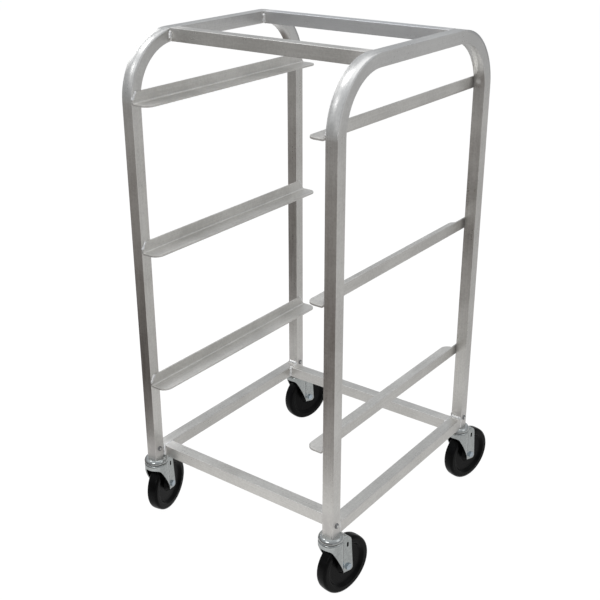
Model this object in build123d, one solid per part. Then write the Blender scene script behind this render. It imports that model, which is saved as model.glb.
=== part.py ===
from build123d import *
import os
from math import sqrt

# Bus box cart: a welded frame of square aluminium tube with angle ledges, on four swivel stem casters.
# Millimetres, +Z up, front towards -Y, origin on the floor under the middle of the four legs.

# Frame
frame_width = 499.5        # over the outer faces of the side frames
frame_depth = 544.0        # over the front and rear legs
frame_height = 1068.0      # floor to the top of the frame
tube_size = 25.4
tube_wall = 1.6
tube_corner = 0.8          # outer corner of the tube section
tube_bore_corner = 0.4
bend_radius = 114.3        # centre line of the bent corners
cross_tube_setback = 114.6 # leg's outer face to the outer face of a top cross tube
base_rail_setback = 2.0    # leg's inner face to the outer face of a cross rail

# Ledges
ledge_base = 334.4         # floor to the underside of the lowest ledge
ledge_pitch = 301.6
ledge_levels = ("bottom", "middle", "top")
ledge_upright = 25.4       # height of the flange on the legs
ledge_shelf = 41.3         # width of the flange under the box
ledge_thickness = 3.2
ledge_bend = 3.0           # inside of the angle's bend
ledge_shelf_corner = 12.7  # rounding of the shelf's free corners
ledge_end_slope = 12.7     # how far the top of the upright is cut back at each end

# Casters
wheel_radius = 63.5
wheel_width = 25.4
tread_crown = 1.2          # how much lower the tread is at its edges
tread_edge = 6.0           # rounding of the tread's edges
rim_width = 14.5           # raised band beside the tread
rim_edge = 3.0             # rounding of the band's inner edge
web_recess = 6.0           # depth of the wheel's sides between rim and hub
web_corner = 5.0           # rounding at the foot of the recess
hub_radius = 15.0
hub_length = 26.2
bushing_wall = 2.5
trail = 33.4               # stem axis to axle, level
leg_clearance = 23.4       # wheel top to the open ends of the legs
fork_sheet = 2.8
fork_side_gap = 0.4        # hub end to fork cheek
crown_radius = 26.0
crown_shoulder = 5.0       # rounding of the crown's top edge
crown_rim = 12.6           # height of the crown's front rim
crown_drop = 11.0          # open ends of the legs to the top of the crown
crease_radius = 6.0        # bend between the round crown and the flat cheek
cheek_reach = 14.2         # axle to the cheek's rear edge, level
cheek_lean = 7.0           # how far the rear edge leans forward at the crown
cheek_heel = 14.0          # axle to the cheek's lowest corner, upright
cheek_tip = 9.6            # axle to the cheek's front tip, upright
cheek_back_corner = 18.0   # rounding at the top of the rear edge
cheek_heel_corner = 7.0
rim_sweep = 12.0           # rounding between the crown's rim and the cheek's front edge
rim_sweep_start = 18.4     # stem axis forward to the end of the rim
slot_width = 5.0           # slot for a brake bar in each cheek
slot_height = 11.5
slot_above_axle = 54.4
slot_before_axle = 2.2
swivel_rest = {            # turn of each fork from straight back, anticlockwise from above
    "front_left": 12.7,
    "front_right": -10.0,
    "rear_left": -13.2,
    "rear_right": -12.8,
}

# Swivel bearing
ball_radius = 3.175
ball_circle = 18.0
ball_count = 12
lower_ball_radius = 2.0
lower_ball_circle = 12.0
groove_share = 0.47        # part of a ball's radius that sits in a groove
race_top_radius = 21.0
race_sheet = 2.6
race_dome = 2.4            # how far the dome's middle lies in from its upper outer corner
race_gap = 1.0             # crown to the skirt of the upper race
lower_race_radius = 16.0
lower_race_height = 3.0
kingpin_radius = 6.0
kingpin_head_radius = 9.0
kingpin_head = 3.4         # thickness of the riveted head
kingpin_head_edge = 2.0

# Stems and fasteners
stem_length = 58.0
stem_chamfer = 2.0
stem_bolt_radius = 3.15
stem_bolt_height = 24.2    # leg's open end to the bolt
stem_bolt_head_radius = 5.6
stem_bolt_head = 3.2
stem_nut_size = 11.0       # across flats
stem_nut_height = 5.0
axle_radius = 4.0
axle_head_size = 12.7      # across flats
axle_head_height = 3.6
axle_nut_height = 6.0
sleeve_wall = 2.3
thread_end = 1.5           # bolt past its nut
edge_break = 0.6           # chamfer on bolt heads and nuts

# Clearances
seat_clearance = 0.05      # pieces that sit still in each other
bolt_clearance = 0.15
running_clearance = 0.06
stem_clearance = 0.2
pin_clearance = 0.3        # kingpin in the crown, which the balls hold off it
ball_clearance = 0.08

# Sizes that follow from the ones above
half_width = frame_width / 2
half_depth = frame_depth / 2
half_tube = tube_size / 2
bore_size = tube_size - 2 * tube_wall
leg_bottom = 2 * wheel_radius + leg_clearance
inner_face = half_width - tube_size
leg_inner = half_depth - tube_size
leg_centre = (half_width - half_tube, half_depth - half_tube)
cheek_inner = hub_length / 2 + fork_side_gap
cheek_outer = cheek_inner + fork_sheet
sleeve_radius = axle_radius + bolt_clearance + sleeve_wall
bushing_bore = sleeve_radius + running_clearance
bushing_radius = bushing_bore + bushing_wall
crown_top = leg_bottom - crown_drop
crown_under = crown_top - fork_sheet
stem_bolt_level = leg_bottom + stem_bolt_height
ball_level = crown_top + ball_radius * (1 - groove_share)
lower_ball_level = crown_under - lower_ball_radius * (1 - groove_share)
race_under = ball_level + ball_radius * (1 - groove_share)
lower_race_top = lower_ball_level - lower_ball_radius * (1 - groove_share)
lower_race_under = lower_race_top - lower_race_height
stem_radius = bore_size / 2 - stem_clearance
kingpin_bore = kingpin_radius + seat_clearance
dome_middle = (crown_radius - race_dome, leg_bottom - race_dome)

sides = {"left": -1, "right": 1}
ends = {"front": -1, "rear": 1}
standing = (Align.CENTER, Align.CENTER, Align.MIN)


def tube_section():
    outer = RectangleRounded(tube_size, tube_size, tube_corner)
    return outer - RectangleRounded(bore_size, bore_size, tube_bore_corner)


def straight_tube(length):
    return extrude(tube_section(), length / 2, both=True)


def rod(radius, length):
    """A cylinder that stands on the XY plane."""
    return Cylinder(radius, length, align=standing)


def hexagon(size, height):
    """A bolt head or nut that stands on the XY plane, its outer corners broken."""
    across = size / sqrt(3)
    body = extrude(RegularPolygon(across, 6), height)
    cone = Pos(0, 0, height - edge_break) * Cone(across, size / 2, edge_break, align=standing)
    return body & (rod(across, height - edge_break) + cone)


def side_frame(side):
    """One tube bent over at both ends, with the stem bolts' holes across its legs."""
    x = side * leg_centre[0]
    y = leg_centre[1]
    top = frame_height - half_tube
    corners = [(x, -y, leg_bottom), (x, -y, top), (x, y, top), (x, y, leg_bottom)]
    path = FilletPolyline(*corners, radius=bend_radius)
    start = Plane(origin=corners[0], x_dir=(1, 0, 0), z_dir=(0, 0, 1))
    frame = sweep(start * tube_section(), path=path)
    for end in ends.values():
        hole = Cylinder(stem_bolt_radius + bolt_clearance, 2 * tube_size)
        frame -= Pos(x, end * y, stem_bolt_level) * Rot(0, 90, 0) * hole
    return frame


def top_cross_tube(end):
    y = end * (half_depth - cross_tube_setback - half_tube)
    return Pos(0, y, frame_height - half_tube) * Rot(0, 90, 0) * straight_tube(2 * inner_face)


def base_side_rail(side):
    x = side * leg_centre[0]
    return Pos(x, 0, leg_bottom + half_tube) * Rot(90, 0, 0) * straight_tube(2 * leg_inner)


def base_cross_rail(end):
    y = end * (leg_inner - base_rail_setback - half_tube)
    return Pos(0, y, leg_bottom + half_tube) * Rot(0, 90, 0) * straight_tube(2 * inner_face)


def ledge(side, level):
    """An angle with its upright on the legs' inner faces and its shelf turned inwards."""
    outline = Polyline(
        (0, 0), (ledge_shelf, 0), (ledge_shelf, ledge_thickness), (ledge_thickness, ledge_thickness),
        (ledge_thickness, ledge_upright), (0, ledge_upright), close=True)
    section = make_face(outline)
    heel = section.vertices().sort_by_distance((0, 0))[0]
    section = fillet(heel, ledge_bend + ledge_thickness)
    inside = section.vertices().sort_by_distance((ledge_thickness, ledge_thickness))[0]
    section = fillet(inside, ledge_bend)
    angle = extrude(Plane.XZ * section, half_depth, both=True)
    angle = fillet(angle.edges().filter_by(Axis.Z).group_by(Axis.X)[-1], ledge_shelf_corner)
    foot = ledge_thickness + ledge_bend
    for end in ends.values():
        slope = make_face(Polyline(
            (end * half_depth, foot), (end * half_depth, ledge_upright),
            (end * (half_depth - ledge_end_slope), ledge_upright), close=True))
        angle -= extrude(Plane.YZ * slope, foot)
    if side > 0:
        angle = mirror(angle, Plane.YZ)
    return Pos(side * inner_face, 0, ledge_base + level * ledge_pitch) * angle


def caster_place(corner):
    """Where a caster's own frame sits: stem axis upright at its leg, wheel trailing along +Y."""
    end, side = corner.split("_")
    return Pos(sides[side] * leg_centre[0], ends[end] * leg_centre[1], 0) * Rot(0, 0, swivel_rest[corner])


def ball_ring(radius, circle, level):
    ball = Pos(circle, 0, level) * Sphere(radius)
    return [Rot(0, 0, index * 360 / ball_count) * ball for index in range(ball_count)]


def groove(radius, circle, level):
    return Pos(0, 0, level) * Torus(circle, radius + ball_clearance)


def stem():
    """Round stem for the leg, with the kingpin under it and the riveted head that holds the swivel."""
    shank = chamfer(rod(stem_radius, stem_length).edges().group_by(Axis.Z)[-1], stem_chamfer)
    body = Pos(0, 0, leg_bottom) * shank
    body += Pos(0, 0, lower_race_under) * rod(kingpin_radius, leg_bottom - lower_race_under)
    head = rod(kingpin_head_radius, kingpin_head)
    head = fillet(head.edges().group_by(Axis.Z)[0], kingpin_head_edge)
    body += Pos(0, 0, lower_race_under - kingpin_head) * head
    return body


def stem_bolt_hole(angle):
    hole = Cylinder(stem_bolt_radius + bolt_clearance, tube_size)
    return Pos(0, 0, stem_bolt_level) * Rot(0, 0, -angle) * Rot(0, 90, 0) * hole


def upper_race():
    """Domed cup under the leg, grooved for the balls."""
    half = make_face(
        Polyline((kingpin_bore, race_under), (crown_radius - race_sheet, race_under),
                 (crown_radius - race_sheet, crown_top + race_gap), (crown_radius, crown_top + race_gap),
                 (crown_radius, race_under))
        + ThreePointArc((crown_radius, race_under), dome_middle, (race_top_radius, leg_bottom))
        + Polyline((race_top_radius, leg_bottom), (kingpin_bore, leg_bottom), (kingpin_bore, race_under)))
    return revolve(Plane.XZ * half, Axis.Z) - groove(ball_radius, ball_circle, ball_level)


def lower_race():
    ring = rod(lower_race_radius, lower_race_height) - rod(kingpin_bore, lower_race_height)
    ring = Pos(0, 0, lower_race_under) * ring
    return ring - groove(lower_ball_radius, lower_ball_circle, lower_ball_level)


def fork_shell(radius, half_gap, length, top):
    """Upright block with the fork's plan: a round crown running back into a straight neck."""
    plan = Circle(radius) + Rectangle(2 * half_gap, length, align=(Align.CENTER, Align.MIN))
    block = extrude(plan, top)
    crease = sqrt(radius**2 - half_gap**2)
    uprights = block.edges().filter_by(Axis.Z)
    creases = [edge for edge in uprights if abs(edge.center().Y - crease) < fork_sheet / 2]
    return fillet(creases, crease_radius)


def fork():
    """Pressed fork: a round crown whose wall runs back into two flat cheeks, cut to its side outline."""
    length = trail + cheek_reach + crown_radius
    outside = fork_shell(crown_radius, cheek_outer, length, crown_top)
    outside = fillet(outside.faces().sort_by(Axis.Z)[-1].edges(), crown_shoulder)
    body = outside - fork_shell(crown_radius - fork_sheet, cheek_inner, 2 * length, crown_under)
    front = -2 * crown_radius
    rear = trail + cheek_reach
    corners = {
        "tip": (trail - cheek_reach, wheel_radius - cheek_tip),
        "heel": (rear, wheel_radius - cheek_heel),
        "back": (rear - cheek_lean, crown_top),
        "top": (front, crown_top),
        "rim": (front, crown_top - crown_rim),
        "sweep": (-rim_sweep_start, crown_top - crown_rim),
    }
    outline = make_face(Polyline(*corners.values(), close=True))
    for name, radius in (("heel", cheek_heel_corner), ("back", cheek_back_corner), ("sweep", rim_sweep)):
        outline = fillet(outline.vertices().sort_by_distance(corners[name])[0], radius)
    body &= extrude(Plane.YZ * outline, 2 * crown_radius, both=True)
    across = Rot(0, 90, 0)
    body -= Pos(0, trail, wheel_radius) * across * Cylinder(axle_radius + bolt_clearance, 4 * crown_radius)
    slot = extrude(SlotOverall(slot_height, slot_width), 2 * crown_radius, both=True)
    body -= Pos(0, trail - slot_before_axle, wheel_radius + slot_above_axle) * across * slot
    body -= rod(kingpin_radius + pin_clearance, crown_top)
    body -= groove(ball_radius, ball_circle, ball_level)
    body -= groove(lower_ball_radius, lower_ball_circle, lower_ball_level)
    return body


def on_axle(piece):
    """Turns a piece made upright about Z onto the axle, its top towards +X."""
    return Pos(0, trail, wheel_radius) * Rot(0, 90, 0) * piece


def wheel():
    """Moulded wheel with a crowned, round-edged tread, raised rims, dished sides and a hub."""
    half = wheel_width / 2
    hub = hub_length / 2
    web = half - web_recess
    edge = wheel_radius - tread_crown
    rim = wheel_radius - rim_width
    bore = bushing_radius + seat_clearance
    outline = Polyline(
        (edge, -half), (rim, -half), (rim - web_recess, -web), (hub_radius + web_recess, -web),
        (hub_radius, -hub), (bore, -hub), (bore, hub), (hub_radius, hub),
        (hub_radius + web_recess, web), (rim - web_recess, web), (rim, half), (edge, half))
    section = make_face(outline + ThreePointArc((edge, half), (wheel_radius, 0), (edge, -half)))
    rounded = [(edge, half, tread_edge), (rim, half, rim_edge), (rim - web_recess, web, web_corner)]
    for radius, height, rounding in rounded:
        for corner in ((radius, height), (radius, -height)):
            section = fillet(section.vertices().sort_by_distance(corner)[0], rounding)
    return on_axle(revolve(Plane.XZ * section, Axis.Z))


def hub_bushing():
    ring = Cylinder(bushing_radius, hub_length) - Cylinder(bushing_bore, hub_length)
    return on_axle(ring)


def axle_sleeve():
    ring = Cylinder(sleeve_radius, 2 * cheek_inner) - Cylinder(axle_radius + bolt_clearance, 2 * cheek_inner)
    return on_axle(ring)


def axle_bolt():
    tail = cheek_outer + axle_nut_height + thread_end
    shank = Pos(0, 0, -tail) * rod(axle_radius, tail + cheek_outer)
    return on_axle(shank + Pos(0, 0, cheek_outer) * hexagon(axle_head_size, axle_head_height))


def axle_nut():
    nut = hexagon(axle_head_size, axle_nut_height) - rod(axle_radius + seat_clearance, axle_nut_height)
    return on_axle(Pos(0, 0, -cheek_outer) * Rot(180, 0, 0) * nut)


def stem_bolt():
    """Cross bolt of a leg, made about Z: round head upwards on the leg's face at half_tube."""
    head = rod(stem_bolt_head_radius, stem_bolt_head)
    head = fillet(head.edges().group_by(Axis.Z)[-1], stem_bolt_head - edge_break)
    length = tube_size + stem_nut_height + thread_end
    return Pos(0, 0, half_tube) * head + Pos(0, 0, half_tube - length) * rod(stem_bolt_radius, length)


def stem_nut():
    nut = hexagon(stem_nut_size, stem_nut_height) - rod(stem_bolt_radius + seat_clearance, stem_nut_height)
    return Pos(0, 0, -half_tube) * Rot(180, 0, 0) * nut


def across_legs(piece):
    """A copy of a cross bolt's piece at every leg, turned towards +X."""
    return Compound([
        Pos(side * leg_centre[0], end * leg_centre[1], stem_bolt_level) * Rot(0, 90, 0) * piece
        for side in sides.values() for end in ends.values()])


def caster(corner):
    """The pieces of one caster by name, in place."""
    place = caster_place(corner)
    turn = swivel_rest[corner]
    balls = ball_ring(ball_radius, ball_circle, ball_level)
    balls += ball_ring(lower_ball_radius, lower_ball_circle, lower_ball_level)
    pieces = {
        "stem": stem() - stem_bolt_hole(turn),
        "upper_race": upper_race(),
        "race_balls": Compound(balls),
        "lower_race": lower_race(),
        "fork": fork(),
        "axle_bolt": axle_bolt(),
        "axle_nut": axle_nut(),
        "axle_sleeve": axle_sleeve(),
        "wheel": wheel(),
        "hub_bushing": hub_bushing(),
    }
    return {f"{corner}_{name}": place * piece for name, piece in pieces.items()}


nodes = {}
for side_name, side in sides.items():
    nodes[f"{side_name}_side_frame"] = side_frame(side)
    nodes[f"{side_name}_base_rail"] = base_side_rail(side)
    for level, level_name in enumerate(ledge_levels):
        nodes[f"{side_name}_{level_name}_ledge"] = ledge(side, level)
for end_name, end in ends.items():
    nodes[f"{end_name}_top_cross_tube"] = top_cross_tube(end)
    nodes[f"{end_name}_base_rail"] = base_cross_rail(end)
nodes["stem_bolts"] = across_legs(stem_bolt())
nodes["stem_nuts"] = across_legs(stem_nut())
for corner in swivel_rest:
    nodes.update(caster(corner))

os.makedirs("parts", exist_ok=True)
for name, solid in nodes.items():
    export_step(solid, f"parts/{name}.step")
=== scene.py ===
import math
import bpy
import numpy as np
from mathutils import Euler, Matrix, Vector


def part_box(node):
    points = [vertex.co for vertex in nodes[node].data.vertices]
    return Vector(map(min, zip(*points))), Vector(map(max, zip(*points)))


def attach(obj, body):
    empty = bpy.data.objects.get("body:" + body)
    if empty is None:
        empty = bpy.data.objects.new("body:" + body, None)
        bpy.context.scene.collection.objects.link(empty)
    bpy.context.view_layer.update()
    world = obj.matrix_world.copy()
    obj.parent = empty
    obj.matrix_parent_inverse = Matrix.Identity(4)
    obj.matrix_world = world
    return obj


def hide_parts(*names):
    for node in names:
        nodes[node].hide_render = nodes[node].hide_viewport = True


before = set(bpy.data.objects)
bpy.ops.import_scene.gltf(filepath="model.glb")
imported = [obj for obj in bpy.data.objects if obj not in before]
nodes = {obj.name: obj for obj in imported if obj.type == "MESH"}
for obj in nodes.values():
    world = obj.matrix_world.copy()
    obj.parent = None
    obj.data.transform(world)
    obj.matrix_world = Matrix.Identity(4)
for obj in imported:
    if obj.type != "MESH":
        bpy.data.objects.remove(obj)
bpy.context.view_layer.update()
scene = bpy.context.scene
scene.view_settings.view_transform = "Standard"


class Shade:  # wraps a socket, so that sums and products of values write their own Math nodes
    def __init__(self, tree, out=None):
        self.tree = tree
        self.out = out

    def node(self, kind, settings=None, sockets=None, take=0):
        made = self.tree.nodes.new("ShaderNode" + kind)
        for name, value in (settings or {}).items():
            setattr(made, name, value)
        for name, value in (sockets or {}).items():
            if isinstance(value, Shade):
                self.tree.links.new(value.out, made.inputs[name])
            else:
                made.inputs[name].default_value = value
        return Shade(self.tree, made.outputs[take] if made.outputs else None)

    def maths(self, operation, first, second=0.0):
        return self.node("Math", {"operation": operation}, {0: first, 1: second})

    def __add__(self, other):
        return self.maths("ADD", self, other)

    def __radd__(self, other):
        return self.maths("ADD", other, self)

    def __sub__(self, other):
        return self.maths("SUBTRACT", self, other)

    def __rsub__(self, other):
        return self.maths("SUBTRACT", other, self)

    def __mul__(self, other):
        return self.maths("MULTIPLY", self, other)

    def __rmul__(self, other):
        return self.maths("MULTIPLY", other, self)

    def __truediv__(self, other):
        return self.maths("DIVIDE", self, other)

    def __pow__(self, other):
        return self.maths("POWER", self, other)

    def __abs__(self):
        return self.maths("ABSOLUTE", self)

    def ramp(self, low, high, start=0.0, end=1.0):  # start below low, end above high, smooth between
        return self.node("MapRange", {"interpolation_type": "SMOOTHSTEP"},
                         {"Value": self, "From Min": low, "From Max": high, "To Min": start, "To Max": end})

    def noise(self, vector, scale, detail, rough):
        return self.node("TexNoise", {},
                         {"Vector": vector, "Scale": scale, "Detail": detail, "Roughness": rough})

    def swing(self):  # how far a noise is from its middle value
        return self - 0.5

    def bump(self, strength, depth, under=None):  # a height turned into a normal, on top of another one
        sockets = {"Strength": strength, "Distance": depth, "Height": self}
        if under:
            sockets["Normal"] = under
        return self.node("Bump", {}, sockets)

    def vector(self, x, y, z):
        return self.node("CombineXYZ", {}, {"X": x, "Y": y, "Z": z})

    def tint(self, factor, first, second):  # colour between two colours
        return self.node("Mix", {"data_type": "RGBA"}, {0: factor, 6: first, 7: second}, 2)


def newMaterial(name):  # an emptied material, its shader maths, and its object coordinates
    made = bpy.data.materials.new(name)
    made.use_nodes = True
    tree = made.node_tree
    tree.nodes.clear()
    shade = Shade(tree)
    place = shade.node("TexCoord", take="Object")
    axes = [shade.node("SeparateXYZ", {}, {0: place}, axis) for axis in range(3)]
    return made, shade, place, axes


def distance(x, y, spot):  # from a spot, along two of the axes
    awayX = x - spot[0]
    awayY = y - spot[1]
    return (awayX * awayX + awayY * awayY) ** 0.5


def lifted(colour, lift):  # the same colour, lighter or darker
    return (*(lift * v for v in colour[:3]), 1)


def surface(shade, sockets):  # the finished shader of a piece
    shader = shade.node("BsdfPrincipled", {}, sockets)
    shade.node("OutputMaterial", {}, {"Surface": shader})


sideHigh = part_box("right_side_frame")[1]
railLow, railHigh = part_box("right_base_rail")
crossLow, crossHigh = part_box("rear_top_cross_tube")
rearLow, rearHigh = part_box("rear_base_rail")
boltLow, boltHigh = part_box("stem_bolts")
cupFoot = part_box("front_left_upper_race")[0].z
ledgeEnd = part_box("right_top_ledge")[1].y
outer = sideHigh.x      # the right side frame's outer face,
inner = rearHigh.x      # and its inner one, where the cross rails end
legInner = railHigh.y   # front of the rear legs, where the side rails end
bendOuter = 0.127       # outside radius of the shoulders
bendY = sideHigh.y - bendOuter
bendZ = sideHigh.z - bendOuter

# Each noise below is given as its scale per metre, its detail and its roughness.
aluminiumLook = {
    "light": (0.768, 0.756, 0.728, 1),
    "dark": (0.643, 0.631, 0.605, 1),
    "roughness": 0.34,
    "streaks": 420.0,               # brush lines per metre across the tube
    "stretch": 9.0,                 # waves per metre along it
    "brush": (1.0, 3.0, 0.6),       # noise of the brush lines, on coordinates scaled by those two,
    "smudge": (11.0, 4.0, 0.6),     # of wide smudges
    "mottle": (210.0, 2.0, 0.55),   # and of fine blotches
    "tone": (0.55, 0.75, 0.55),     # weight of these three in the colour,
    "toneRange": (0.45, 0.85),      # which goes from dark to light between these sums,
    "uneven": (0.25, 0.18, 0.12),   # and in the roughness
    "bump": (0.12, 0.0004),         # strength and depth of the brush lines
    "cool": (0.685, 0.70, 0.725, 1),    # painted cool sky reflection, tinting some upper tubes,
    "coolRange": (0.85, 1.05),          # setting in between these heights
}
hazeLook = {
    "dull": (0.865, 0.848, 0.818, 1),       # metal beside the welds,
    "scorch": (0.775, 0.755, 0.735, 1),     # and its smudges
    "cloud": (55.0, 3.0, 0.55),
    "scorchRange": (0.48, 0.62),    # values of the cloud from scorched to dull
    "patchRange": (0.25, 0.5),      # and from thin to thick haze,
    "patches": (0.5, 0.9),          # which are these shares
    "reach": 0.045,                 # how far it runs from a joint
    "share": {"bent": 1.0, "x": 0.6, "y": 0.6, "angle": 0.2},
    "roughness": 0.28,
}
ledgeFinish = {
    "roughness": 0.08,              # more than the tubes have,
    "endRoughness": 0.12,           # and more again on the cut ends,
    "endFrom": 0.010, "endTo": 0.003,       # setting in this far from them
    "soot": (0.24, 0.235, 0.23, 1),
    "sootShare": 0.65,
    "sootFrom": 0.022, "sootTo": 0.004,     # setting in this far from the rear leg,
    "sootBehind": (0.0, 0.1),               # only behind the middle of the cart
    "skinFrom": 0.004, "skinTo": 0.002,     # and this near to the upright's outer face
}
shoulderLook = {
    "grow": 0.05,                   # how far into the bend its shape sets in
    "crownRadius": 0.034,
    "crownWidth": 0.0085,           # where the crown stops curving and slopes evenly
    "softEdge": 0.006,              # width of the rounded edge,
    "levelEdge": 0.0006,            # and how much of that is level
    "rimFrom": 0.0100, "rimTo": 0.0127,     # it is rougher this far from the wall's middle,
    "rimRoughness": 0.1,                    # by this
}
groundLook = {
    "spot": (0.2352, 0.9534),       # x and z of a ground weld on the front of the rear right leg
    "colour": (0.95, 0.94, 0.92, 1),
    "share": 0.9,
    "from": 0.0025, "to": 0.0085,           # it fades this far from its middle,
    "skinFrom": 0.002, "skinTo": 0.005,     # and this far from the leg's face
    "roughness": 0.3,
}


def ledgeEnds(shade, x, y, colour, rough):  # dull cut ends, and soot outside the right ledges at the rear leg
    look = ledgeFinish
    cut = abs(y).ramp(ledgeEnd - look["endFrom"], ledgeEnd - look["endTo"])
    rough = rough + look["roughness"] + cut * look["endRoughness"]
    nearLeg = abs(y).ramp(legInner - look["sootFrom"], legInner - look["sootTo"], 0.0, look["sootShare"])
    outside = x.ramp(inner - look["skinFrom"], inner - look["skinTo"])
    sooty = nearLeg * y.ramp(*look["sootBehind"]) * outside
    return shade.tint(sooty, colour, look["soot"]), rough


def shoulders(shade, axes, across, rough, bump):
    # Bending leaves the outer wall crowned and its edges soft. At u from the wall's middle the crown falls
    # by u squared over twice its radius, and evenly past the crown's width. The edge falls by the square of
    # the way into it over twice its width.
    look = shoulderLook
    x, y, z = axes
    bent = abs(y).ramp(bendY, bendY + look["grow"]) * z.ramp(bendZ, bendZ + look["grow"])
    u = abs(abs(x) - (inner + outer) / 2)
    curved = shade.maths("MINIMUM", u, look["crownWidth"])
    edge = shade.maths("MAXIMUM", across - (bendOuter - look["softEdge"]), 0.0)
    edge = shade.maths("MINIMUM", edge, look["softEdge"] - look["levelEdge"])
    crown = curved * (curved * 0.5 - u) / look["crownRadius"]
    height = bent * (crown - edge * edge / (2 * look["softEdge"]))
    rough = rough + bent * u.ramp(look["rimFrom"], look["rimTo"]) * look["rimRoughness"]
    return rough, height.bump(1.0, 1.0, bump)


def groundWeld(shade, axes, colour, rough):  # a pale, duller spot
    look = groundLook
    x, y, z = axes
    onFace = abs(y - legInner).ramp(look["skinFrom"], look["skinTo"], 1.0, 0.0)
    spot = distance(x, z, look["spot"]).ramp(look["from"], look["to"], look["share"], 0.0) * onFace
    return shade.tint(spot, colour, look["colour"]), rough + spot * look["roughness"]


def aluminium(name, along, lift=1.0, cool=0.0):
    # Mill finish with brush lines along the piece, dull beside its welds. A lift makes it lighter or darker;
    # on the rear cross tube and the left rail it is painted light and shade. Cool is the share of a painted
    # cool sky reflection in its upper part.
    look = aluminiumLook
    made, shade, place, axes = newMaterial(name)
    x, y, z = axes
    streaks, stretch = look["streaks"], look["stretch"]
    reach, share = hazeLook["reach"], hazeLook["share"][along]
    if along == "bent":  # lines follow legs, shoulders and top, by the distance from the bends' axes
        outY = shade.maths("MAXIMUM", abs(y) - bendY, 0.0)
        outZ = shade.maths("MAXIMUM", z - bendZ, 0.0)
        across = (outY * outY + outZ * outZ) ** 0.5
        brushAt = shade.vector(x * streaks, across * streaks, (z - abs(y)) * stretch)
        weldNear = z.ramp(railHigh.z, railHigh.z + reach, share, 0.0)
    elif along == "x":
        brushAt = shade.vector(x * stretch, y * streaks, z * streaks)
        weldNear = abs(x).ramp(inner - reach, inner, 0.0, share)
    else:
        brushAt = shade.vector(x * streaks, y * stretch, z * streaks)
        weldNear = abs(y).ramp(legInner - reach, legInner, 0.0, share)
    brush = shade.noise(brushAt, *look["brush"])
    smudge = shade.noise(place, *look["smudge"])
    mottle = shade.noise(place, *look["mottle"]).swing()
    cloud = shade.noise(place, *hazeLook["cloud"])
    brushTone, smudgeTone, mottleTone = look["tone"]
    tone = (brush * brushTone + smudge * smudgeTone + mottle * mottleTone).ramp(*look["toneRange"])
    metal = shade.tint(tone, lifted(look["dark"], lift), lifted(look["light"], lift))
    # painted cool sky reflection on the upper part
    if cool:
        metal = shade.tint(z.ramp(*look["coolRange"], 0.0, cool), metal, lifted(look["cool"], lift))
    dull = shade.tint(cloud.ramp(*hazeLook["scorchRange"]), hazeLook["scorch"], hazeLook["dull"])
    haze = weldNear * cloud.ramp(*hazeLook["patchRange"], *hazeLook["patches"])
    colour = shade.tint(haze, metal, dull)
    brushRough, smudgeRough, mottleRough = look["uneven"]
    rough = look["roughness"] + brush.swing() * brushRough + smudge.swing() * smudgeRough
    rough = rough + haze * hazeLook["roughness"] + mottle * mottleRough
    bump = brush.bump(*look["bump"])
    if along == "angle":
        colour, rough = ledgeEnds(shade, x, y, colour, rough)
    if along == "bent":
        rough, bump = shoulders(shade, axes, across, rough, bump)
        colour, rough = groundWeld(shade, axes, colour, rough)
    surface(shade, {"Base Color": colour, "Metallic": 1.0, "Roughness": rough, "Normal": bump})
    return made


zincLook = {  # light, dark and roughness of each plated finish
    "zincPlate": ((0.51, 0.535, 0.53, 1), (0.40, 0.418, 0.414, 1), 0.17),
    "brightZinc": ((0.56, 0.58, 0.575, 1), (0.42, 0.435, 0.432, 1), 0.10),
    "blueZinc": ((0.56, 0.64, 0.70, 1), (0.40, 0.45, 0.50, 1), 0.26),
}
platingLook = {  # what the plated finishes share
    "cloud": (160.0, 3.0, 0.6),
    "fine": (1400.0, 2.0, 0.5),
    "tone": (0.8, 0.3),             # weight of the two noises in the colour,
    "toneRange": (0.35, 0.75),      # which goes from dark to light between these sums,
    "uneven": (0.2, 0.1),           # and in the roughness
    "bump": (0.08, 0.0003),
    # painted shade in the gap of a seam
    "seamShade": (0.07, 0.065, 0.06, 1),
    "seamShadeShare": 0.92,
    "seamShadeFrom": 0.0006, "seamShadeTo": 0.0020,     # it fades this far from a seam
}


def zinc(name, seams=()):  # bright plate with a faint cloudy crystal, with painted shade in the gaps at the heights of its seams
    look = platingLook
    light, dark, roughness = zincLook[name]
    made, shade, place, (_, _, z) = newMaterial(name)
    cloud = shade.noise(place, *look["cloud"])
    fine = shade.noise(place, *look["fine"])
    cloudTone, fineTone = look["tone"]
    colour = shade.tint((cloud * cloudTone + fine * fineTone).ramp(*look["toneRange"]), dark, light)
    # painted shade in the gap at each seam's height
    for height in seams:
        seamShading = abs(z - height).ramp(look["seamShadeFrom"], look["seamShadeTo"], look["seamShadeShare"], 0.0)
        colour = shade.tint(seamShading, colour, look["seamShade"])
    cloudRough, fineRough = look["uneven"]
    rough = roughness + cloud.swing() * cloudRough + fine.swing() * fineRough
    bump = fine.bump(*look["bump"])
    surface(shade, {"Base Color": colour, "Metallic": 1.0, "Roughness": rough, "Normal": bump})
    return made


boltLook = {
    # painted shade round the head, and a painted highlight in its middle
    "rim": (0.24, 0.24, 0.245, 1),
    "middle": (0.80, 0.80, 0.79, 1),
    "from": 0.0014, "to": 0.0034,   # distances from the bolt's axis between which it turns into the painted shade,
    "ragged": 0.002,                # and how much they waver
    "cloud": (400.0, 3.0, 0.6),
    "roughness": 0.28, "uneven": 0.3,
}


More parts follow.
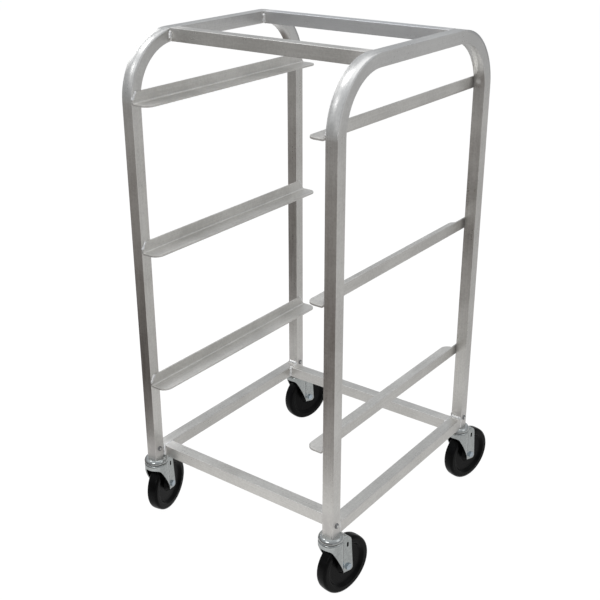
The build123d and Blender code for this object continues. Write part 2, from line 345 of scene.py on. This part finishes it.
def boltSteel(name):  # ends of the cross bolts: a painted highlight in the middle, painted shade round it
    look = boltLook
    made, shade, place, (_, y, z) = newMaterial(name)
    radius = (boltHigh.z - boltLow.z) / 2
    out = distance(abs(y), z, (boltHigh.y - radius, boltLow.z + radius))
    cloud = shade.noise(place, *look["cloud"]).swing()
    edge = (out + cloud * look["ragged"]).ramp(look["from"], look["to"])
    colour = shade.tint(edge, look["middle"], look["rim"])
    rough = look["roughness"] + cloud * look["uneven"]
    surface(shade, {"Base Color": colour, "Metallic": 1.0, "Roughness": rough})
    return made


steelLook = {
    "dark": (0.55, 0.55, 0.55, 1),
    "light": (0.75, 0.75, 0.74, 1),
    "cloud": (300.0, 2.0, 0.5),
    "roughness": 0.25, "uneven": 0.15,
}


def steel(name):  # turned and polished steel inside the swivels and hubs
    look = steelLook
    made, shade, place, _ = newMaterial(name)
    cloud = shade.noise(place, *look["cloud"])
    colour = shade.tint(cloud, look["dark"], look["light"])
    rough = look["roughness"] + cloud * look["uneven"]
    surface(shade, {"Base Color": colour, "Metallic": 1.0, "Roughness": rough})
    return made


rubberLook = {
    "dark": (0.002, 0.002, 0.0021, 1),
    "worn": (0.0066, 0.0066, 0.007, 1),
    "dust": (45.0, 5.0, 0.65),
    "dustRange": (0.4, 0.75),       # values of the dust from dark to worn
    "pores": (1500.0, 2.0, 0.5),
    "roughness": 0.30,
    "uneven": (0.3, 0.1),           # weight of dust and pores in the roughness
    "bump": (0.15, 0.0004),
    "shine": 0.085,
}


def rubber(name):  # hard black rubber, dusty in patches
    look = rubberLook
    made, shade, place, _ = newMaterial(name)
    dust = shade.noise(place, *look["dust"])
    pores = shade.noise(place, *look["pores"])
    colour = shade.tint(dust.ramp(*look["dustRange"]), look["dark"], look["worn"])
    dustRough, poreRough = look["uneven"]
    rough = look["roughness"] + dust.swing() * dustRough + pores.swing() * poreRough
    bump = pores.bump(*look["bump"])
    surface(shade, {"Base Color": colour, "Roughness": rough, "Normal": bump,
                    "Specular IOR Level": look["shine"]})
    return made


weldFinish = {
    "sooty": (0.68, 0.67, 0.66, 1),
    "bright": (0.90, 0.90, 0.895, 1),
    "soot": (190.0, 4.0, 0.6),
    "sootRange": (0.34, 0.56),      # values of the soot's noise from sooty to bright
    "grit": (1700.0, 2.0, 0.5),
    "roughness": 0.26, "uneven": 0.22,
    "bump": (0.12, 0.0005),
}


def weldMetal(name):  # bright cast surface of a weld, sooty in patches
    look = weldFinish
    made, shade, place, _ = newMaterial(name)
    soot = shade.noise(place, *look["soot"])
    grit = shade.noise(place, *look["grit"])
    colour = shade.tint(soot.ramp(*look["sootRange"]), look["sooty"], look["bright"])
    rough = look["roughness"] + soot * look["uneven"]
    bump = grit.bump(*look["bump"])
    surface(shade, {"Base Color": colour, "Metallic": 1.0, "Roughness": rough, "Normal": bump})
    return made


finishes = {
    # the side frames' upper parts carry a share of painted cool sky reflection
    "bent": aluminium("aluminiumBent", "bent", cool=0.3),
    "x": aluminium("aluminiumAcross", "x"),
    # rear cross tube painted lighter and cooler, and left rail below painted darker: painted light and shade
    "rear": aluminium("aluminiumRear", "x", lift=1.12, cool=0.8),
    "y": aluminium("aluminiumAlong", "y"),
    "left": aluminium("aluminiumLeft", "y", lift=0.91),
    "angle": aluminium("aluminiumAngle", "angle", lift=1.02),
    "zinc": zinc("zincPlate"),
    "brightZinc": zinc("brightZinc", (cupFoot,)),
    "blueZinc": zinc("blueZinc"),
    "bolt": boltSteel("boltSteel"),
    "steel": steel("turnedSteel"),
    "rubber": rubber("blackRubber"),
    "weld": weldMetal("weldMetal"),
}
nodeFinish = {  # by the end of a node's name, where the longest that fits holds
    "side_frame": "bent",
    "front_top_cross_tube": "x", "rear_top_cross_tube": "rear",
    "left_base_rail": "left", "right_base_rail": "y",
    "front_base_rail": "x", "rear_base_rail": "x",
    "ledge": "angle",
    "bolts": "bolt", "nuts": "bolt",
    "stem": "steel", "balls": "steel", "sleeve": "steel", "bushing": "steel",
    "race": "brightZinc", "fork": "zinc",
    "bolt": "blueZinc", "nut": "blueZinc",
    "wheel": "rubber",
}
for name, piece in nodes.items():
    ending = max((key for key in nodeFinish if name.endswith(key)), key=len)
    piece.data.materials.clear()
    piece.data.materials.append(finishes[nodeFinish[ending]])
print("finishes:", len(finishes), "on", len(nodes), "nodes")

ledgeLook = {
    "thickness": 0.0032,
    "bend": 0.003,      # inside radius
    "corner": 0.0195,   # rounding of the shelf's free corners
    "slope": 0.0127,    # how far the top of the upright is cut back,
    "back": 0.004,      # and how far all of it is at the rear
    "turns": 13,        # stations round a corner or the bend
    "sharp": 35.0,      # degrees past which an edge is shaded sharp
}


def makeLedge(name):
    # A bent sheet. Stations cross it from the shelf's free edge through the bend to the top of the upright,
    # on its outer face and back on its inner one. At each end a station stops short of the ledge's end: by
    # c (1 - sin a) in the rounded corner, where it lies c (1 - cos a) from the free edge, by nothing on the
    # shelf, by a growing share of the rear set back round the bend, and by the slope at the upright's top.
    look = ledgeLook
    low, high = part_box(name)
    side = 1 if low.x > 0 else -1
    thick, corner = look["thickness"], look["corner"]
    heel = thick + look["bend"]  # outside radius of the bend
    width, height = high.x - low.x, high.z - low.z
    turn = np.linspace(0, np.pi / 2, look["turns"])
    flat = np.concatenate([width - corner * (1 - np.cos(turn)), [heel]])
    faces = []
    for bend, gap in ((heel, 0.0), (look["bend"], thick)):
        across = np.concatenate([flat, heel - bend * np.sin(turn[1:]), [gap]])
        up = np.concatenate([0 * flat + gap, heel - bend * np.cos(turn[1:]), [height]])
        faces.append((across, up))
    cut = np.concatenate([corner * (1 - np.sin(turn)), 0 * turn, [look["slope"]]])
    back = np.concatenate([0 * flat, look["back"] * turn[1:] / turn[-1], [look["back"]]])
    across, up = [np.concatenate([outside, inside[::-1]]) for outside, inside in zip(*faces)]
    ends = [np.concatenate([reach, reach[::-1]]) for reach in (cut - high.y, high.y - cut - back)]
    x = side * (inner - across)
    points = np.stack([np.stack([x, y, low.z + up], -1) for y in ends])
    count = len(across)
    front = np.arange(count)
    rear = front + count
    walls = np.stack([front, np.roll(front, -1), np.roll(rear, -1), rear], -1)
    strip = np.arange(len(cut) - 1)
    cap = np.stack([strip, count - 1 - strip, count - 2 - strip, strip + 1], -1)
    quads = np.concatenate([walls, cap, cap[:, ::-1] + count])[:, ::-side]
    mesh = bpy.data.meshes.new(name + "_angle")
    mesh.from_pydata(points.reshape(-1, 3).tolist(), [], quads.tolist())
    mesh.polygons.foreach_set("use_smooth", np.ones(len(quads), bool))
    mesh.set_sharp_from_angle(angle=math.radians(look["sharp"]))
    mesh.materials.append(finishes["angle"])
    piece = bpy.data.objects.new(name + "_angle", mesh)
    scene.collection.objects.link(piece)
    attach(piece, "frame")
    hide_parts(name)


ledgeNames = [name for name in nodes if name.endswith("ledge")]
for name in ledgeNames:
    makeLedge(name)
print("ledges:", len(ledgeNames), "with rounded shelf corners")

beadLook = {
    "rings": 44, "around": 14,
    "pitch": 0.0036,    # metres from one ripple to the next
    "ripple": 0.05,     # depth of a ripple as a share of the radius
    "wander": 0.10,     # slow swelling along a bead,
    "swell": 5,         # over this many ripples,
    "shift": 2.4,       # begun this much later on each next bead
    "tip": 0.02,        # least radius as a share, at the ends
}


def beads(name, lines, radius):
    # Each bead is a rippled cord along a straight line, closed at both tips. At s along the line, bead n has
    # the radius r (1 - ripple |sin(pi s / pitch + n)| + wander sin(2 pi s / (swell pitch) + shift n)), which
    # is drawn in as a half circle at both ends, down to the tip.
    look = beadLook
    ends = np.array(lines, float)
    start, along = ends[:, 0], ends[:, 1] - ends[:, 0]
    length = np.linalg.norm(along, axis=1, keepdims=True)
    along = along / length
    turn = np.linspace(0, np.pi, look["rings"])
    share = (1 - np.cos(turn)) / 2  # rings lie closer at the ends
    s = share * length
    inset = (1 - np.minimum(s, length - s) / radius).clip(0)
    cap = np.sqrt(np.clip(1 - inset ** 2, look["tip"] ** 2, 1))
    number = np.arange(len(ends))[:, None]
    ripple = look["ripple"] * np.abs(np.sin(np.pi * s / look["pitch"] + number))
    swell = look["wander"] * np.sin(2 * np.pi * s / look["pitch"] / look["swell"] + look["shift"] * number)
    r = radius * cap * (1 - ripple + swell)
    alongX = np.abs(along[:, :1]) > 0.7  # such a bead's first spoke is square to y, and another's to x
    first = np.cross(along, np.where(alongX, [[0, 1, 0]], [[1, 0, 0]]))
    first /= np.linalg.norm(first, axis=1, keepdims=True)
    second = np.cross(along, first)
    angle = np.linspace(0, 2 * np.pi, look["around"], endpoint=False)
    spoke = np.cos(angle)[:, None] * first[:, None] + np.sin(angle)[:, None] * second[:, None]
    middle = start[:, None] + s[..., None] * along[:, None]
    points = middle[:, :, None] + r[..., None, None] * spoke[:, None]
    index = np.arange(points.size // 3).reshape(points.shape[:3])
    near, far = index[:, :-1], index[:, 1:]
    quads = np.stack([near, np.roll(near, -1, 2), np.roll(far, -1, 2), far], -1).reshape(-1, 4)
    tips = np.concatenate([index[:, 0, ::-1], index[:, -1]])
    mesh = bpy.data.meshes.new(name)
    mesh.from_pydata(points.reshape(-1, 3).tolist(), [], quads.tolist() + tips.tolist())
    mesh.polygons.foreach_set("use_smooth", np.ones(len(quads) + len(tips), bool))
    mesh.materials.append(finishes["weld"])
    piece = bpy.data.objects.new(name, mesh)
    scene.collection.objects.link(piece)
    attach(piece, "frame")


def bothSides(lines):  # the same lines on the left and on the right of the cart
    lines = np.array(lines, float)
    return np.concatenate([lines, lines * [-1, 1, 1]]).tolist()


def bothEnds(lines):  # the same lines at the front and at the rear
    lines = np.array(lines, float)
    return np.concatenate([lines, lines * [1, -1, 1]]).tolist()


weldLook = {
    "cross": 0.0050, "rail": 0.0054, "seam": 0.0034, "ledge": 0.0034,   # radii of the beads
    "seamRise": 0.0011,     # how far a flush seam stands out
    "footIn": 0.001,        # a ledge's bead starts this far in from its end,
    "footUp": 0.0075,       # and this far up
}


def makeWelds():
    look = weldLook
    crossTop = crossHigh.z - look["cross"]
    crossFoot = crossLow.z + look["cross"] - look["seamRise"]
    crossLines = [  # each cross tube's front, rear and underside where it meets the side frames
        ((inner, crossLow.y, crossLow.z), (inner, crossLow.y, crossTop)),
        ((inner, crossHigh.y, crossLow.z), (inner, crossHigh.y, crossTop)),
        ((inner, crossLow.y, crossFoot), (inner, crossHigh.y, crossFoot)),
    ]
    beads("crossTubeBeads", bothEnds(bothSides(crossLines)), look["cross"])
    sunk = look["seam"] - look["seamRise"]
    railLines = [  # side rail's top on the leg, cross rail's two upright corners, and from there to the leg
        ((inner, legInner, railHigh.z), (outer, legInner, railHigh.z)),
        ((inner, rearLow.y, railLow.z), (inner, rearLow.y, railHigh.z)),
        ((inner, rearHigh.y, railLow.z), (inner, rearHigh.y, railHigh.z)),
        ((inner, rearHigh.y, railHigh.z - sunk), (inner, legInner, railHigh.z)),
    ]
    beads("railBeads", bothEnds(bothSides(railLines)), look["rail"])
    seamLines = [  # flush seams: side rail's outer face to the leg, cross rail's top to the side rail
        ((outer - sunk, legInner, railLow.z), (outer - sunk, legInner, railHigh.z)),
        ((inner, rearLow.y, railHigh.z - sunk), (inner, rearHigh.y, railHigh.z - sunk)),
    ]
    beads("seamBeads", bothEnds(bothSides(seamLines)), look["seam"])
    ledgeLines = []
    back = ledgeLook["back"]
    for level in ("bottom", "middle", "top"):  # the sloped ends of the uprights
        low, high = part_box("right_" + level + "_ledge")
        foot, tip = high.y - look["footIn"], high.y - ledgeLook["slope"]
        footHeight = low.z + look["footUp"]
        ledgeLines += [
            ((inner, -foot, footHeight), (inner, -tip, high.z)),
            ((inner, foot - back, footHeight), (inner, tip - back, high.z)),
        ]
    beads("ledgeBeads", bothSides(ledgeLines), look["ledge"])


makeWelds()
print("welds: beads at the cross tubes, rails and ledges")

floorLook = {
    "reach": 30.0,
    "white": 1.11,                      # the floor's own glow to the eye
    "shadow": 0.12,                     # share of the floor's white that lamps and shadows decide
    "matt": (0.85, 0.85, 0.85, 1),
    "middle": (0.05, 0.10),             # what polished metal sees of the floor, by the distance from here:
    "front": 0.94, "near": 0.66,        # close to the cart, in front of it and from there to the rear,
    "frontRange": (-0.5, -0.25),
    "side": 0.523,                      # farther off,
    "sideRange": (0.4, 1.2),
    "left": 0.5,                        # added far to its left, towards the rear,
    "leftRange": (0.8, 1.6), "leftBehind": (0.3, 1.0),
    "right": 0.09,                      # and far to its right, towards the front,
    "rightRange": (0.9, 1.2), "rightAhead": (0.0, 0.2),
    "dimWay": (-0.6, -0.8),             # dim at the front left,
    "dimTurn": (0.1, 0.35), "dimRange": (0.66, 0.90),
    "dim": (0.206, 0.187, 0.177, 1),
    "far": (0.38, 0.38, 0.375, 1),      # lighter again far off,
    "farRange": (1.5, 7.0),
    "darkSpot": (-0.86, -0.93),         # and darkest here
    "darkRange": (0.05, 0.78), "dark": 0.26,
}


def floorMaterial():  # white to the eye; polished metal sees it dim towards the front left of the studio
    look = floorLook
    made, shade, _, (x, y, _) = newMaterial("studioFloor")
    ray = shade.node("LightPath", take="Is Camera Ray")
    shine = shade.node("LightPath", take="Is Glossy Ray")
    through = shade.node("LightPath", take="Is Transmission Ray")
    out = distance(x, y, look["middle"])
    frontLeft = (x * look["dimWay"][0] + y * look["dimWay"][1]).ramp(*look["dimTurn"])
    beside = y.ramp(*look["frontRange"], look["front"], look["near"])
    bright = beside + out.ramp(*look["sideRange"]) * (look["side"] - beside)
    bright = bright + (0 - x).ramp(*look["leftRange"]) * y.ramp(*look["leftBehind"]) * look["left"]
    bright = bright + x.ramp(*look["rightRange"]) * (x - y).ramp(*look["rightAhead"]) * look["right"]
    dark = distance(x, y, look["darkSpot"]).ramp(*look["darkRange"], look["dark"], 1.0)
    shadow = shade.tint(dark, (0, 0, 0, 1), look["dim"])
    dim = shade.tint(out.ramp(*look["farRange"]), shadow, look["far"])
    grey = shade.node("CombineColor", {}, {0: bright, 1: bright, 2: bright})
    seenByMetal = shade.tint(out.ramp(*look["dimRange"]) * frontLeft, grey, dim)
    white = (look["white"], look["white"], look["white"], 1)
    glow = shade.node("Emission", {}, {"Color": shade.tint(shine, white, seenByMetal), "Strength": 1.0})
    matt = shade.node("BsdfDiffuse", {}, {"Color": look["matt"]})
    seen = shade.maths("MINIMUM", ray * (1 - look["shadow"]) + shine + through, 1.0)
    mixed = shade.node("MixShader", {}, {0: seen, 1: matt, 2: glow})
    shade.node("OutputMaterial", {}, {"Surface": mixed})
    return made


def makeFloor():
    reach = floorLook["reach"]
    corners = [(-reach, -reach, 0), (reach, -reach, 0), (reach, reach, 0), (-reach, reach, 0)]
    mesh = bpy.data.meshes.new("floor")
    mesh.from_pydata(corners, [], [(0, 1, 2, 3)])
    floor = bpy.data.objects.new("floor", mesh)
    mesh.materials.append(floorMaterial())
    scene.collection.objects.link(floor)


roomLook = {  # what polished metal sees of the room
    "level": 0.36,
    "up": 0.39, "north": 0.04,          # added towards the ceiling and the rear,
    "bank": 0.12,                       # and round the lamps at the upper left
    "bankWay": (-0.58, -0.45, 0.68),
    "bankRange": (0.80, 0.97),
    "plain": 0.34,                      # what lights everything else
    "red": 0.975, "blue": 1.03,         # slightly cool tint of both
}


def makeRoom():  # white to the eye
    look = roomLook
    world = bpy.data.worlds.new("studio")
    scene.world = world
    world.use_nodes = True
    world.node_tree.nodes.clear()
    shade = Shade(world.node_tree)
    way = shade.node("TexCoord", take="Generated")
    east, north, up = [shade.node("SeparateXYZ", {}, {0: way}, axis) for axis in range(3)]
    ray = shade.node("LightPath", take="Is Camera Ray")
    shine = shade.node("LightPath", take="Is Glossy Ray")
    bankX, bankY, bankZ = look["bankWay"]
    lobe = (east * bankX + north * bankY + up * bankZ).ramp(*look["bankRange"])
    room = look["level"] + look["up"] * up + look["north"] * north + look["bank"] * lobe
    level = ray + (1 - ray) * (shine * room + (1 - shine) * look["plain"])
    cool = shade.node("CombineColor", {}, {0: level * look["red"], 1: level, 2: level * look["blue"]})
    colour = shade.tint(ray, cool, (1, 1, 1, 1))
    glow = shade.node("Background", {}, {"Color": colour, "Strength": 1.0})
    shade.node("OutputWorld", {}, {"Surface": glow})


lamps = {  # place, turned towards, width and height, watts
    "overhead": ((0.3, 0.2, 2.9), (0, 0, 0.6), (2.4, 1.6), 8.3),
    "right": ((3.0, 0.6, 1.9), (0, 0, 0.6), (1.8, 1.8), 5),
    "upperBank": ((-1.0, -0.35, 2.85), (0.24, -0.25, 1.0), (0.75, 0.9), 6.8),
    "leftPanel": ((-2.2, 0.35, 1.7), (-0.24, -0.2, 1.0), (1.4, 1.2), 12.3),
    "frontBank": ((-1.2, -1.5, 2.15), (0.1, -0.26, 0.9), (0.45, 0.35), 1.9),
    "cameraSide": ((0.25, -2.0, 1.1), (0, -0.2, 0.2), (0.9, 0.35), 3.4),
}


def makeLamps():
    for name, (spot, target, size, watts) in lamps.items():
        data = bpy.data.lights.new(name, "AREA")
        data.shape = "RECTANGLE"
        data.size, data.size_y = size
        data.energy = watts
        lamp = bpy.data.objects.new(name, data)
        lamp.location = spot
        wayX, wayY, wayZ = np.array(target) - np.array(spot)
        tilt = math.atan2(math.hypot(wayX, wayY), -wayZ)
        turn = math.atan2(wayY, wayX) - math.pi / 2
        lamp.rotation_euler = (tilt, 0, turn)
        scene.collection.objects.link(lamp)


cameraLook = {
    "place": (1.16228, -1.60180, 1.36505),
    "turn": 36.68,      # degrees to the left of straight back
    "tilt": -23.64,     # degrees above level
    "roll": -0.13,
    "focal": 1007.87,   # in pixels of the 600 pixel picture
    "picture": 600.0,
    "sensor": 36.0,
}


def makeCamera():
    look = cameraLook
    data = bpy.data.cameras.new("camera")
    data.sensor_width = look["sensor"]
    data.lens = look["focal"] / look["picture"] * look["sensor"]
    camera = bpy.data.objects.new("camera", data)
    aim = Euler((math.radians(90 + look["tilt"]), 0, math.radians(look["turn"]))).to_matrix()
    aim = aim @ Matrix.Rotation(math.radians(look["roll"]), 3, "Z")
    camera.location = look["place"]
    camera.rotation_euler = aim.to_euler()
    scene.collection.objects.link(camera)
    scene.camera = camera


makeFloor()
makeRoom()
makeLamps()
makeCamera()
print("stage: floor, studio, lamps and camera")
